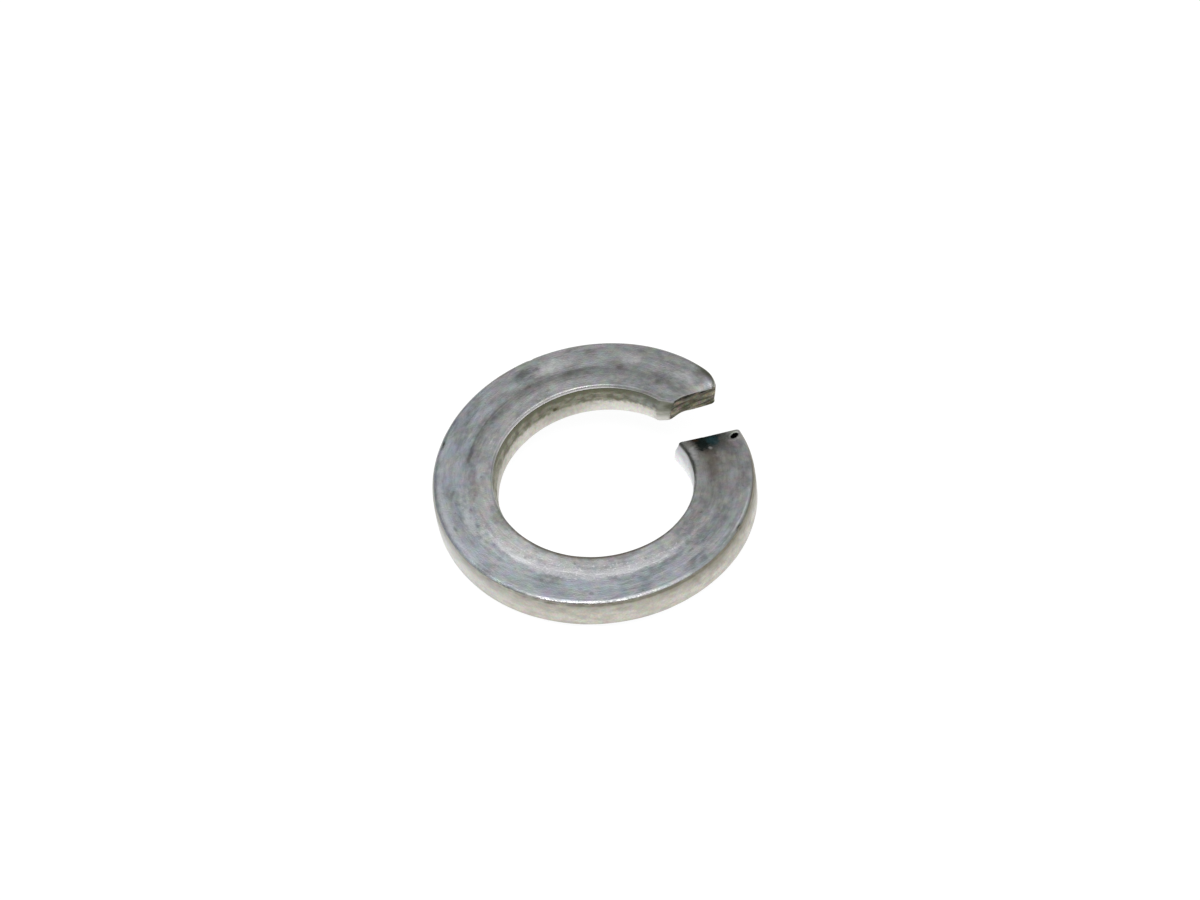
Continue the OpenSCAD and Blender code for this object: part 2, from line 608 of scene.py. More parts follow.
# %% Short names for nodes
def put(socket, value):
    """Sets a socket's value, or links another socket to it."""
    if isinstance(value, bpy.types.NodeSocket):
        socket.id_data.links.new(value, socket)
    else:
        socket.default_value = value


def add(tree, kind, values=None, **settings):
    """A new node with its settings, and its inputs by name or number."""
    node = tree.nodes.new(kind)
    for name, setting in settings.items():
        setattr(node, name, setting)
    for key, value in (values or {}).items():
        put(node.inputs[key], value)
    return node


def tree_of(values):
    """The tree that the sockets among these values are in."""
    return next(value.id_data for value in values if isinstance(value, bpy.types.NodeSocket))


def maths(operation, *values):
    node = add(tree_of(values), "ShaderNodeMath", dict(enumerate(values)), operation=operation)
    return node.outputs[0]


def times(a, b):
    return maths("MULTIPLY", a, b)


def times_plus(a, b, c):
    return maths("MULTIPLY_ADD", a, b, c)


def rest_of(mask):
    return maths("SUBTRACT", 1, mask)


def vector_maths(operation, *values):
    node = add(tree_of(values), "ShaderNodeVectorMath", dict(enumerate(values)), operation=operation)
    return node.outputs["Value" if operation == "LENGTH" else "Vector"]


def remap(value, low, high, to_low=0.0, to_high=1.0):
    """Smoothly from to_low at low to to_high at high, and level beyond."""
    values = {"Value": value, "From Min": low, "From Max": high, "To Min": to_low, "To Max": to_high}
    node = add(value.id_data, "ShaderNodeMapRange", values, interpolation_type="SMOOTHSTEP")
    return node.outputs["Result"]


def mix_colour(mask, under, over, blend_type="MIX"):
    """The colour under, and over it the other one as far as the mask says."""
    node = tree_of((mask, under, over)).nodes.new("ShaderNodeMix")
    node.data_type = "RGBA"
    node.blend_type = blend_type
    put(node.inputs[0], mask)
    for socket, colour in ((node.inputs[6], under), (node.inputs[7], over)):
        put(socket, colour if isinstance(colour, bpy.types.NodeSocket) else (*colour, 1))
    return node.outputs[2]


def new_group(name, output="Mask", **inputs):
    """An empty effect: a place and these values go in, and a mask or a colour comes out."""
    tree = bpy.data.node_groups.new(name, "ShaderNodeTree")
    for label, value in {"Place": (0, 0, 0), **inputs}.items():
        kind = "NodeSocketVector" if isinstance(value, tuple) else "NodeSocketFloat"
        tree.interface.new_socket(label, in_out="INPUT", socket_type=kind).default_value = value
    kind = "NodeSocketColor" if output == "Colour" else "NodeSocketFloat"
    tree.interface.new_socket(output, in_out="OUTPUT", socket_type=kind)
    return tree, tree.nodes.new("NodeGroupInput").outputs, tree.nodes.new("NodeGroupOutput").inputs


# %% [markdown]
# ## Effects that the finishes share
#
# Rolled faces, walls and torn ends are the same steel, so they share their effects: cloudy
# stains, a faint play of colours, fine lines along the wire, grain, dark specks, and a soft spot
# that can be put at any place on the wire. Each is one node group, with sizes in millimetres.

# %% Clouds
CLOUD_SOFTEST = 0.1
CLOUD_SPAN = 0.35


def clouds_group():
    """Soft blotches, longer along the wire than across it."""
    tree, given, out = new_group("clouds", Size=1, Stretch=2, Contrast=0.5)
    length = times(given["Size"], given["Stretch"])
    cell = add(tree, "ShaderNodeCombineXYZ", {0: length, 1: given["Size"], 2: given["Size"]})
    place = vector_maths("DIVIDE", given["Place"], cell.outputs[0])
    cloud = add(tree, "ShaderNodeTexNoise", {"Vector": place, "Scale": 1, "Detail": 4})
    low = times_plus(given["Contrast"], CLOUD_SPAN, CLOUD_SOFTEST)
    high = rest_of(low)
    put(out["Mask"], remap(cloud.outputs["Fac"], low, high))
    return tree


# %% Tint
def tint_group():
    """Faint drifts of colour around white, to be multiplied with a finish's own colour."""
    tree, given, out = new_group("tint", "Colour", Size=0.5, Strength=0.2)
    scale = maths("DIVIDE", 1, given["Size"])
    drift = add(tree, "ShaderNodeTexNoise", {"Vector": given["Place"], "Scale": scale, "Detail": 3})
    span = times(given["Strength"], 2)
    lowest = rest_of(given["Strength"])
    put(out["Colour"], vector_maths("MULTIPLY_ADD", drift.outputs["Color"], span, lowest))
    return tree


# %% Lines along the wire
LINE_RANGE = (0.3, 0.7)


def lines_group():
    """Fine broken lines that the rolls draw along the wire."""
    tree, given, out = new_group("rolling_lines", Spacing=0.1, Length=3)
    cell = add(tree, "ShaderNodeCombineXYZ", {0: given["Length"], 1: given["Spacing"], 2: given["Spacing"]})
    place = vector_maths("DIVIDE", given["Place"], cell.outputs[0])
    lines = add(tree, "ShaderNodeTexNoise", {"Vector": place, "Scale": 1, "Detail": 3})
    put(out["Mask"], remap(lines.outputs["Fac"], *LINE_RANGE))
    return tree


# %% Grain
GRAIN_RANGE = (0.25, 0.75)


def grain_group():
    """The etched grain of dull steel, as a mask."""
    tree, given, out = new_group("grain", Size=0.1)
    scale = maths("DIVIDE", 1, given["Size"])
    grain = add(tree, "ShaderNodeTexNoise", {"Vector": given["Place"], "Scale": scale, "Detail": 2})
    put(out["Mask"], remap(grain.outputs["Fac"], *GRAIN_RANGE))
    return tree


# %% Specks
SPECK_RIM = 0.08


def specks_group():
    """Small dark pits and smears of all shapes: the highest islands of a noise."""
    tree, given, out = new_group("specks", Size=0.3, Level=0.68)
    scale = maths("DIVIDE", 1, given["Size"])
    islands = add(tree, "ShaderNodeTexNoise", {"Vector": given["Place"], "Scale": scale, "Detail": 2})
    high = maths("ADD", given["Level"], SPECK_RIM)
    put(out["Mask"], remap(islands.outputs["Fac"], given["Level"], high))
    return tree


# %% A soft spot
def spot_group():
    """An oval mark with a ragged rim, centred at one place on the wire and turned in its face."""
    tree, given, out = new_group(
        "spot", Centre=(0, 0, 0), Reach=(1, 1, 1),
        Softness=0.3, Raggedness=0.3, Tear=0.3, Turn=0,
    )
    away = vector_maths("SUBTRACT", given["Place"], given["Centre"])
    turned = add(tree, "ShaderNodeVectorRotate", {"Vector": away, "Angle": given["Turn"]})
    away = vector_maths("DIVIDE", turned.outputs[0], given["Reach"])
    distance = vector_maths("LENGTH", away)
    scale = maths("DIVIDE", 1, given["Tear"])
    tear = add(tree, "ShaderNodeTexNoise", {"Vector": given["Place"], "Scale": scale, "Detail": 3})
    centred = maths("SUBTRACT", tear.outputs["Fac"], 0.5)
    ragged = times_plus(centred, given["Raggedness"], distance)
    near = rest_of(given["Softness"])
    far = maths("ADD", 1, given["Softness"])
    put(out["Mask"], remap(ragged, far, near))
    return tree


groups = {
    "clouds": clouds_group(),
    "tint": tint_group(),
    "lines": lines_group(),
    "grain": grain_group(),
    "specks": specks_group(),
    "spot": spot_group(),
}
print("effects:", ", ".join(groups))

# %% [markdown]
# ## Steel and its three finishes
#
# All three are bare metal: Metallic is 1 and the look is in colour, roughness and a fine bump.
# A finish is built up from the ground, as a painter would. A layer is an effect mixed evenly
# over the colour so far, and a stain is one spot of another colour. Both come in tables, one
# line each, so that a mark is easy to find and to move. A ramp is a pair of places on the wire
# between which something comes or goes.

# %% A start for every finish
def use(name, place, **values):
    """One of the shared effects in a material, with this material's values. Returns its output."""
    node = place.id_data.nodes.new("ShaderNodeGroup")
    node.node_tree = groups[name]
    put(node.inputs["Place"], place)
    for key, value in values.items():
        put(node.inputs[key], value)
    return node.outputs[0]


def new_finish(name):
    """An empty metal material, its shader, and the wire's coordinates, whole and in parts."""
    material = bpy.data.materials.new(name)
    material.use_nodes = True
    tree = material.node_tree
    shader = tree.nodes["Principled BSDF"]
    shader.inputs["Metallic"].default_value = 1
    place = add(tree, "ShaderNodeAttribute", attribute_name="wire_place").outputs["Vector"]
    parts = add(tree, "ShaderNodeSeparateXYZ", {0: place}).outputs
    return material, shader, place, parts


def bumped(shader, height, distance):
    """Height from 0 to 1 as a bump of that many millimetres."""
    values = {"Strength": 1, "Distance": distance * MM, "Height": height}
    bump = add(shader.id_data, "ShaderNodeBump", values)
    put(shader.inputs["Normal"], bump.outputs["Normal"])


print("wire coordinates are read from the attribute wire_place")


# %% Layers, ramps and stains
RIM_SOCKETS = ("Softness", "Raggedness", "Tear", "Turn")


def multiplied(colour, by):
    return mix_colour(1, colour, by, "MULTIPLY")


def tinted(place, colour, size, strength):
    return multiplied(colour, use("tint", place, Size=size, Strength=strength))


def between(value, rise, fall):
    """1 between two ramps, and 0 beyond both."""
    return times(remap(value, *rise), remap(value, *fall))


def layered(place, colour, layers):
    """The colour so far under layers, each an effect, its values, its share and its colour."""
    for effect, values, share, over in layers:
        mask = use(effect, place, **values)
        colour = mix_colour(times(mask, share), colour, over)
    return colour


def stained(place, colour, stains):
    """The colour so far under stains: colour, share, centre, reach, and how the rim is torn."""
    for stain, share, centre, reach, *rim in stains:
        values = dict(zip(RIM_SOCKETS, rim))
        mask = use("spot", place, Centre=centre, Reach=reach, **values)
        colour = mix_colour(times(mask, share), colour, stain)
    return colour


print("a stain's rim has", ", ".join(RIM_SOCKETS))

# %% [markdown]
# ### The rolled faces
#
# The top face is dull grey with cloudy stains, faintly blue on the left. It is lightest at the
# front, partly from rubbing and partly as a painted sheen with painted glints, most of all in the
# band next to the hole up to the step. Further round, dirt has stayed in the step as a dark
# smudge. Towards the lower end the steel turns brown and ends in black, brown and teal blotches
# of burning, with a black pit. The rounded edges are darkened, partly by dirt and partly by
# painted shade that keeps the lamp's highlight faint, less so on the left and the right. At the
# front of the outside and at the back of the hole they are burnished and carry a painted highlight.

# %% Marks on the top face
ABOVE = 1.0
MARK_HIGH = 0.5
MARK_RIM = (0.8, 2.6, 0.3)
# Dark colour laid into the two nicks of the outer edge.
DEEP_MARKS = [
    (15.4, 3.25, 0.22, 0.12),
    (36.75, 3.44, 0.21, 0.15),
]
DARK_MARKS = [
    (15.6, 1.6, 0.62, 0.12),
    (1.05, 3.0, 0.26, 0.2),
    (2.05, 1.08, 0.26, 0.16),
    (4.75, 1.55, 0.24, 0.17),
    (7.75, 1.42, 0.45, 0.16),
    (6.45, 2.8, 0.26, 0.2),
    (9.95, 2.62, 0.42, 0.22),
    (20.5, 2.86, 0.12, 0.08),
    (19.7, 1.63, 0.1, 0.08),
    (20.9, 1.7, 0.12, 0.1),
    (24.5, 1.28, 0.1, 0.07),
    (28.6, 2.74, 0.1, 0.08),
    (34.3, 2.1, 0.16, 0.06),
    (26.0, 2.2, 0.16, 0.09),
    (18.3, 2.3, 0.14, 0.1),
    (30.8, 0.5, 1.1, 0.14),
]
LIGHT_MARKS = [
    (1.35, 2.2, 0.6, 0.32),
    (4.2, 2.25, 0.5, 0.3),
    (8.4, 2.3, 0.7, 0.4),
    (21.4, 1.68, 0.16, 0.1),
    (24.0, 1.45, 0.9, 0.2),
    (29.6, 1.5, 0.5, 0.1),
    (20.3, 1.95, 1.6, 0.2),
    # A painted highlight: a thin light line along the outer edge on the right.
    (37.3, 3.24, 1.3, 0.05),
    (42.3, 0.45, 0.9, 0.16),
    (42.5, 1.46, 0.11, 0.09),
]


def marked(place, colour, marks, stain, share):
    """The colour so far with a list of small ragged marks (along, across, and both reaches)."""
    stains = [
        (stain, share, (at, across, ABOVE), (long, wide, MARK_HIGH), *MARK_RIM)
        for at, across, long, wide in marks
    ]
    return stained(place, colour, stains)


print(len(DEEP_MARKS) + len(DARK_MARKS), "dark and", len(LIGHT_MARKS), "light marks on the top face")

# %% Colours and layers of the rolled faces
DULL_DARK = (0.385, 0.39, 0.385)
DULL_LIGHT = (0.65, 0.65, 0.645)
UNWORN_SHADE = (0.22, 0.225, 0.22)
UNWORN_SHADE_SHARE = 0.27
BLUED = (0.915, 0.963, 1.03)
DIRT = (0.10, 0.10, 0.085)
ROLLED_LINES = {"Spacing": 0.09, "Length": 2.5}
ROLLED_LAYERS = [
    ("clouds", {"Size": 0.25, "Stretch": 1.5, "Contrast": 0.8}, 0.36, (0.74, 0.745, 0.74)),
    ("clouds", {"Size": 0.15, "Stretch": 4, "Contrast": 0.7}, 0.26, (0.27, 0.285, 0.29)),
    ("lines", ROLLED_LINES, 0.14, (0.30, 0.31, 0.31)),
]
ROLLED_SPECKS = [("specks", {"Size": 0.3, "Level": 0.68}, 0.35, DIRT)]
WORN_SHEEN_STRETCH = ((20, 24), (37, 31))
BLUED_STRETCH = ((9, 16), (44, 29))
BLUED_ACROSS = (1.2, 1.9)


def rolled_colour(place, parts):
    """Clouds, streaks and specks, lighter at the front by wear and painted sheen, faintly blue on the left.
    """
    cloud = use("clouds", place, Size=0.7, Stretch=2.4, Contrast=0.85)
    colour = layered(place, mix_colour(cloud, DULL_DARK, DULL_LIGHT), ROLLED_LAYERS)
    # Wear and a painted sheen lighten the front; elsewhere the face is darkened, less worn and in painted
    # shade.
    dull_shade = rest_of(between(parts[0], *WORN_SHEEN_STRETCH))
    colour = mix_colour(times(dull_shade, UNWORN_SHADE_SHARE), colour, UNWORN_SHADE)
    left = between(parts[0], *BLUED_STRETCH)
    blued = times(left, remap(parts[1], *BLUED_ACROSS))
    colour = mix_colour(blued, colour, multiplied(colour, BLUED))
    colour = tinted(place, colour, size=0.42, strength=0.25)
    return layered(place, colour, ROLLED_SPECKS)


print(len(ROLLED_LAYERS) + len(ROLLED_SPECKS), "layers over the clouds of the rolled faces")

# %% The step and the rubbed band
RUBBED_SHEEN = (0.86, 0.85, 0.88)
FLECKED_GLINT = (0.95, 0.94, 0.96)
EDGE_LINE_HIGHLIGHT = (0.80, 0.82, 0.86)
STEP_STAINS = [
    (DIRT, 0.36, (8.5, 1.45, ABOVE), (9, 0.32, 1), 0.8, 1.6),
    (DIRT, 0.30, (12, 1.64, ABOVE), (4.5, 0.05, 1), 0.6, 0.8),
    (DIRT, 0.17, (7.0, 2.72, ABOVE), (9, 0.40, 1), 0.8, 1.6),
    (DIRT, 0.13, (27.2, 2.78, ABOVE), (4, 0.40, 1), 0.8, 1.6),
    (DULL_LIGHT, 0.16, (8.5, 0.62, ABOVE), (8, 0.42, 1), 0.8, 1.4),
    # These two stains lighten the band by the hole at the front: partly rubbing, partly a painted sheen.
    (RUBBED_SHEEN, 0.20, (28.2, 1.15, ABOVE), (6.3, 0.66, 1), 0.3, 1.0, 0.3),
    (RUBBED_SHEEN, 0.42, (27.9, 1.44, ABOVE), (5.8, 0.31, 1), 0.3, 1.2, 0.25),
]
# A painted highlight: a thin light line along the outer edge on the left.
OUTER_LINE_HIGHLIGHT = [(EDGE_LINE_HIGHLIGHT, 0.36, (19.8, 3.06, ABOVE), (3.6, 0.14, 1), 0.8, 1.8, 0.3)]
FLECKED_GLINT_SPOT = {"Centre": (28.0, 1.30, ABOVE), "Reach": (6.0, 0.50, 1), "Softness": 0.3, "Raggedness": 1.0}
GLINT_FLECKS_SHARE = 0.55


def step_colour(place, colour):
    """Dirt by the step; at the front, rubbing, painted sheen and painted glints; a painted highlight line.
    """
    colour = stained(place, colour, STEP_STAINS)
    # Painted glints: light flecks over the band by the hole at the front.
    rubbed_sheen = use("spot", place, **FLECKED_GLINT_SPOT)
    glint_flecks = times(use("specks", place, Size=0.16, Level=0.56), rubbed_sheen)
    colour = mix_colour(times(glint_flecks, GLINT_FLECKS_SHARE), colour, FLECKED_GLINT)
    return stained(place, colour, OUTER_LINE_HIGHLIGHT)


print(len(STEP_STAINS), "stains by the step")

# %% The rounded edges of the top face
OLIVE = (0.06, 0.065, 0.03)
BURNT = (0.012, 0.022, 0.020)
BROWNED = (0.16, 0.13, 0.10)
EDGE_DULL_SHADE = (0.28, 0.28, 0.25)
BURNISHED_HIGHLIGHT = (0.84, 0.82, 0.83)
EDGE_REACH = 0.6
BARE_LEFT = (20, WIRE_W, 5, 0.4)
BARE_RIGHT = (34.8, WIRE_W, 3.2, 0.4)
BURNISHED_HIGHLIGHT_FRONT = (29.2, WIRE_W, 3.6, 0.06)
BURNISHED_HIGHLIGHT_BACK = (9.8, 0, 5.2, 0.35)
DULL_SHADE_SHARE = 0.6
DULL_SHADE_IF_BARE = 0.2
FRONT_FADE = (27.5, 32, 1, 0.3)
BACK_SHARE = 0.8
RUBS_SHARE = 0.8
RUBS_LEAST = 0.3
LINE_RIM = (0.6, 0.8, 0.5)
EDGE_STAINS = [
    # Painted shade: a dark brown line on the hole's edge at the front.
    (BROWNED, 0.8, (28.5, 0.28, ABOVE), (7.0, 0.10, 1), *LINE_RIM),
    (BURNT, 0.95, (42, 0.08, ABOVE), (3.7, 0.19, 1), *LINE_RIM),
    (OLIVE, 0.85, (0.85, 3.44, ABOVE), (0.72, 0.30, 1), *LINE_RIM),
    (BROWNED, 0.7, (39.2, 3.42, ABOVE), (2.4, 0.07, 1), *LINE_RIM),
]


def edge_stretch(place, at, across, reach, softness):
    """A stretch of one of the top face's rounded edges."""
    size = (reach, EDGE_REACH, EDGE_REACH)
    return use("spot", place, Centre=(at, across, ABOVE), Reach=size, Softness=softness)


def edge_colour(place, parts, colour, edge):
    """Edges darkened by dirt and painted shade, burnished with painted highlights, and lines along them."""
    left = edge_stretch(place, *BARE_LEFT)
    bare = maths("MAXIMUM", left, edge_stretch(place, *BARE_RIGHT))
    # Painted shade, partly dirt: the rounded edges are darkened so that the lamp's highlight stays faint,
    # less on the left and the right.
    share = times_plus(bare, DULL_SHADE_IF_BARE - DULL_SHADE_SHARE, DULL_SHADE_SHARE)
    colour = mix_colour(times(edge, share), colour, EDGE_DULL_SHADE)
    # Painted highlight, partly real burnish: lighter, smoother stretches of edge at the front of the
    # outside and at the back of the hole.
    front = edge_stretch(place, *BURNISHED_HIGHLIGHT_FRONT)
    front = times(front, remap(parts[0], *FRONT_FADE))
    rubs = use("clouds", place, Size=0.12, Stretch=1.6, Contrast=0.9)
    front = times(front, times_plus(rubs, RUBS_SHARE, RUBS_LEAST))
    back = times(edge_stretch(place, *BURNISHED_HIGHLIGHT_BACK), BACK_SHARE)
    burnish_highlight = times(maths("MAXIMUM", front, back), edge)
    colour = mix_colour(burnish_highlight, colour, BURNISHED_HIGHLIGHT)
    return stained(place, colour, EDGE_STAINS), burnish_highlight


print(len(EDGE_STAINS), "lines of dirt along the edges")

# %% The burnt end
BURNT_BROWN = (0.09, 0.05, 0.03)
BURNT_TEAL = (0.03, 0.085, 0.10)
PIT_BLACK = (0.002, 0.002, 0.002)
PIT_STAIN = 1.05
BURNT_STAINS = [
    (BROWNED, 0.42, (43.8, 1.6, ABOVE), (5.6, 1.4, 1), 0.7, 0.8, 1.2),
    (BROWNED, 0.55, (41.8, 1.2, ABOVE), (2.4, 0.34, 1), 0.8, 1.2),
    (BURNT, 0.75, (43.4, 1.75, ABOVE), (1.1, 0.80, 1), 0.8, 1.4, 0.6),
    (BURNT, 0.97, (43.5, 1.45, ABOVE), (0.75, 0.72, 1), 0.35, 1.9, 0.28),
    (BURNT, 0.95, (42.75, 1.1, ABOVE), (0.5, 0.32, 1), 0.5, 1.7, 0.25),
    (BURNT_BROWN, 0.7, (43.42, 0.95, ABOVE), (0.22, 0.16, 1), 0.7, 1.5, 0.15),
    (BURNT_TEAL, 0.7, (43.05, 1.80, ABOVE), (0.42, 0.26, 1), 0.7, 1.7, 0.2),
    (
        PIT_BLACK, 1.0, (*PIT_AT, ABOVE), (PIT_LENGTH * PIT_STAIN, PIT_WIDTH * PIT_STAIN, 1),
        0.15, 0.3, 0.1, -math.radians(90 - PIT_TURN),
    ),
]
print(len(BURNT_STAINS), "stains by the lower end, with the pit's own")

# %% Rolled faces
DARK_SHARE = 0.42
DEEP_SHARE = 0.95
MARK_LIGHT = (0.85, 0.86, 0.86)
LIGHT_SHARE = 0.45
ROLLED_ROUGHNESS = (0.40, 0.54)
WORN_ROUGHNESS = -0.2
ROLLED_LINE_HEIGHT = 0.5
ROLLED_BUMP = 0.007


def rolled_finish():
    material, shader, place, parts = new_finish("rolled_steel")
    edge = add(place.id_data, "ShaderNodeAttribute", attribute_name="edge_place").outputs["Fac"]
    colour = rolled_colour(place, parts)
    colour = step_colour(place, colour)
    colour = marked(place, colour, DARK_MARKS, DIRT, DARK_SHARE)
    colour, burnish_highlight = edge_colour(place, parts, colour, edge)
    colour = marked(place, colour, DEEP_MARKS, DIRT, DEEP_SHARE)
    colour = stained(place, colour, BURNT_STAINS)
    colour = marked(place, colour, LIGHT_MARKS, MARK_LIGHT, LIGHT_SHARE)
    put(shader.inputs["Base Color"], colour)
    haze = use("clouds", place, Size=0.5, Stretch=1.5, Contrast=0.8)
    rough = remap(haze, 0, 1, *ROLLED_ROUGHNESS)
    put(shader.inputs["Roughness"], times_plus(burnish_highlight, WORN_ROUGHNESS, rough))
    lines = use("lines", place, **ROLLED_LINES)
    grain = use("grain", place, Size=0.08)
    bumped(shader, times_plus(lines, ROLLED_LINE_HEIGHT, grain), ROLLED_BUMP)
    return material


washer.data.materials.append(rolled_finish())
print("rolled faces:", len(washer.data.materials[ROLLED].node_tree.nodes), "nodes")

# %% [markdown]
# ### The walls
#
# Both walls are a warmer, lighter grey, darker towards the top as painted shade. Oil and dirt
# have darkened the upper half of the hole's wall to olive, down to a ragged line on the ridge,
# but not near the lower end, where the wall is clean. Below the oil the hole's wall is lighter,
# and near the lower end almost white at its foot, as a painted reflection of the white table.
# The outer wall is paler on the left as a painted reflection, and carries a thin dark line right
# under its upper edge, partly dirt and partly painted shade, and two soft smears. The broken
# corner of the upper end is part of the hole's wall.

# %% Oil on the hole's wall
HOLE_TABLE_REFLECTION = (0.78, 0.76, 0.71)
HOLE_ACROSS = (1.2, 0.6)
HOLE_LOW = (0.2, -0.8)
HOLE_LOW_SHARE = (3, 9, 0.95, 0.45)
WALL_CLEAN = (0.43, 0.44, 0.46)
CLEAN_FOOT_REFLECTION = (0.95, 0.96, 0.98)
CLEAN_HIGH = (1.1, -0.9)
CLEAN_SHARE = 0.9
OIL = (0.125, 0.127, 0.078)
OIL_LIGHT = (0.30, 0.295, 0.23)
OIL_ENDS = (39, 37)
OIL_HIGH = (-0.34, 0.06)
WANDER_HIGH = -0.22
OIL_SHARE = 0.92
OIL_MIDDLE = ((0.65, 0.4), (-0.05, 0.25))
PATCHES_SHARE = 0.85
BESIDE_MIDDLE = 0.1
MIDDLE_SHARE = 0.25
GREYER = (0.95, 1.02, 1.25)
GREYER_ALONG = (5, 1)
RIM_OIL_SHADE = (0.06, 0.066, 0.035)
RIM_FROM = 0.74
RIM_DROP = -0.17
RIM_TO = 0.88
RIM_SHARE = 0.85
HOLE_STAINS = [
    (OIL_LIGHT, 0.5, (8.9, 0, -0.15), (2.2, 0.6, 0.6), 0.7, 1.0),
    (OIL_LIGHT, 0.45, (16.5, 0, -0.3), (3.0, 0.6, 0.6), 0.7, 1.0),
]
HOLE_PIT = [((0.07, 0.065, 0.03), 0.85, (9.24, 0, 0.10), (0.16, 0.6, 0.10), 0.5)]


def bare_hole(place, colour, parts, inside, clean):
    """The hole's wall without its oil, lighter below and almost white at the foot near the lower end: a
    painted reflection.
    """
    # Painted reflection of the white table: the hole's wall lighter on its lower half.
    low = times(inside, remap(parts[2], *HOLE_LOW))
    low = times(low, remap(parts[0], *HOLE_LOW_SHARE))
    colour = mix_colour(low, colour, HOLE_TABLE_REFLECTION)
    colour = stained(place, colour, HOLE_STAINS)
    # Painted reflection of the white table: near the lower end the clean wall turns almost white towards
    # its foot.
    cleaner_reflection = mix_colour(remap(parts[2], *CLEAN_HIGH), WALL_CLEAN, CLEAN_FOOT_REFLECTION)
    clean = times(times(inside, clean), CLEAN_SHARE)
    return mix_colour(clean, colour, cleaner_reflection)


def oil_colour(place, parts):
    """Olive oil with lighter patches, most of them at middle height, and greyer by the cut."""
    patches = use("clouds", place, Size=0.3, Stretch=2.2, Contrast=0.75)
    middle = between(parts[2], *OIL_MIDDLE)
    lighter = times_plus(patches, PATCHES_SHARE, times(middle, MIDDLE_SHARE))
    held = times_plus(middle, 1 - BESIDE_MIDDLE, BESIDE_MIDDLE)
    lighter = times(lighter, held)
    oil = mix_colour(lighter, OIL, OIL_LIGHT)
    greyer = mix_colour(remap(parts[0], *GREYER_ALONG), (1, 1, 1), GREYER)
    return multiplied(oil, greyer)


def oiled_colour(place, colour, parts):
    """Oil on the upper half of the hole's wall, and under the edge a dark rim, partly painted shade."""
    inside = remap(parts[1], *HOLE_ACROSS)
    oily = remap(parts[0], *OIL_ENDS)
    clean = rest_of(oily)
    colour = bare_hole(place, colour, parts, inside, clean)
    wander = use("clouds", place, Size=0.3, Stretch=1.4, Contrast=0.5)
    high = times_plus(wander, WANDER_HIGH, parts[2])
    band = times(remap(high, *OIL_HIGH), inside)
    band = times(band, oily)
    colour = mix_colour(times(band, OIL_SHARE), colour, oil_colour(place, parts))
    # A dark rim right under the edge, partly oil and partly painted shade.
    rim_from = times_plus(clean, RIM_DROP, RIM_FROM)
    rim = times(remap(parts[2], rim_from, RIM_TO), inside)
    colour = mix_colour(times(rim, RIM_SHARE), colour, RIM_OIL_SHADE)
    return stained(place, colour, HOLE_PIT)


print(f"oil from the upper end to {OIL_ENDS[1]} mm along the wire")

# %% Walls
WALL_DARK = (0.53, 0.508, 0.45)
WALL_LIGHT = (0.64, 0.615, 0.55)
WALL_LAYERS = [
    ("clouds", {"Size": 0.12, "Stretch": 1.4, "Contrast": 0.8}, 0.22, (0.74, 0.71, 0.65)),
    ("grain", {"Size": 0.1}, 0.42, (0.38, 0.365, 0.325)),
]
WALL_SPECKS = [("specks", {"Size": 0.22, "Level": 0.68}, 0.35, (0.2, 0.19, 0.15))]
PALE_REFLECTION = (0.70, 0.705, 0.69)
PALE_REFLECTION_STRETCH = ((11, 17), (27, 20))
PALE_REFLECTION_ACROSS = (2.6, 3.0)
PALE_REFLECTION_SHARE = 0.7
TOP_PAINTED_SHADE = (0.78, 0.78, 0.77)
PAINTED_SHADE_HIGH = (0.9, -0.4)
FOOT = (0.40, 0.39, 0.35)
FOOT_HIGH = (-0.4, -0.95)
FOOT_SHARE = 0.35
TOP_LINE = HALF_T - EDGE_R / 2
FACET_RIM = (0.6, 1.6, 0.25)
FACET_STAINS = [
    ((0.24, 0.245, 0.20), 0.85, (0, 0, 0.30), (0.5, 1, 1.0), *FACET_RIM),
    (OLIVE, 0.7, (0.08, 0, 0.45), (0.16, 1, 0.30), *FACET_RIM),
    # The facet's pale foot is a painted reflection of the white table.
    ((0.66, 0.64, 0.60), 0.75, (0.1, 0, -0.95), (0.5, 1, 0.4), *FACET_RIM),
]
OUTER_STAINS = [
    # The first stain is a thin dark line right under the upper edge, partly dirt and partly painted shade.
    ((0.08, 0.075, 0.04), 0.52, (31.0, WIRE_W, TOP_LINE - 0.07), (5.0, 1.5, 0.09), 0.7, 1.6, 0.2),
    ((0.19, 0.175, 0.12), 0.62, (39.0, WIRE_W, TOP_LINE), (7.5, 1.5, 0.66), 0.8, 1.3, 0.4),
    ((0.26, 0.26, 0.22), 0.35, (19.5, WIRE_W, 0.95), (4.0, 1.5, 0.50), 0.8, 1.3, 0.4),
]
WALL_ROUGHNESS = (0.46, 0.36)
WALL_LINE_HEIGHT = 0.4
WALL_BUMP = 0.008


def wall_colour(place, parts, cloud):
    """Clouds and sand; painted reflection on the left, painted shade towards the top, darker at the foot.
    """
    colour = layered(place, mix_colour(cloud, WALL_DARK, WALL_LIGHT), WALL_LAYERS)
    # Painted reflection: the outer wall is paler on the left.
    left = between(parts[0], *PALE_REFLECTION_STRETCH)
    left = times(left, remap(parts[1], *PALE_REFLECTION_ACROSS))
    colour = mix_colour(times(left, PALE_REFLECTION_SHARE), colour, PALE_REFLECTION)
    # Painted shade: both walls darker towards the top.
    lower = remap(parts[2], *PAINTED_SHADE_HIGH)
    colour = mix_colour(lower, multiplied(colour, TOP_PAINTED_SHADE), colour)
    foot = remap(parts[2], *FOOT_HIGH)
    return mix_colour(times(foot, FOOT_SHARE), colour, FOOT)


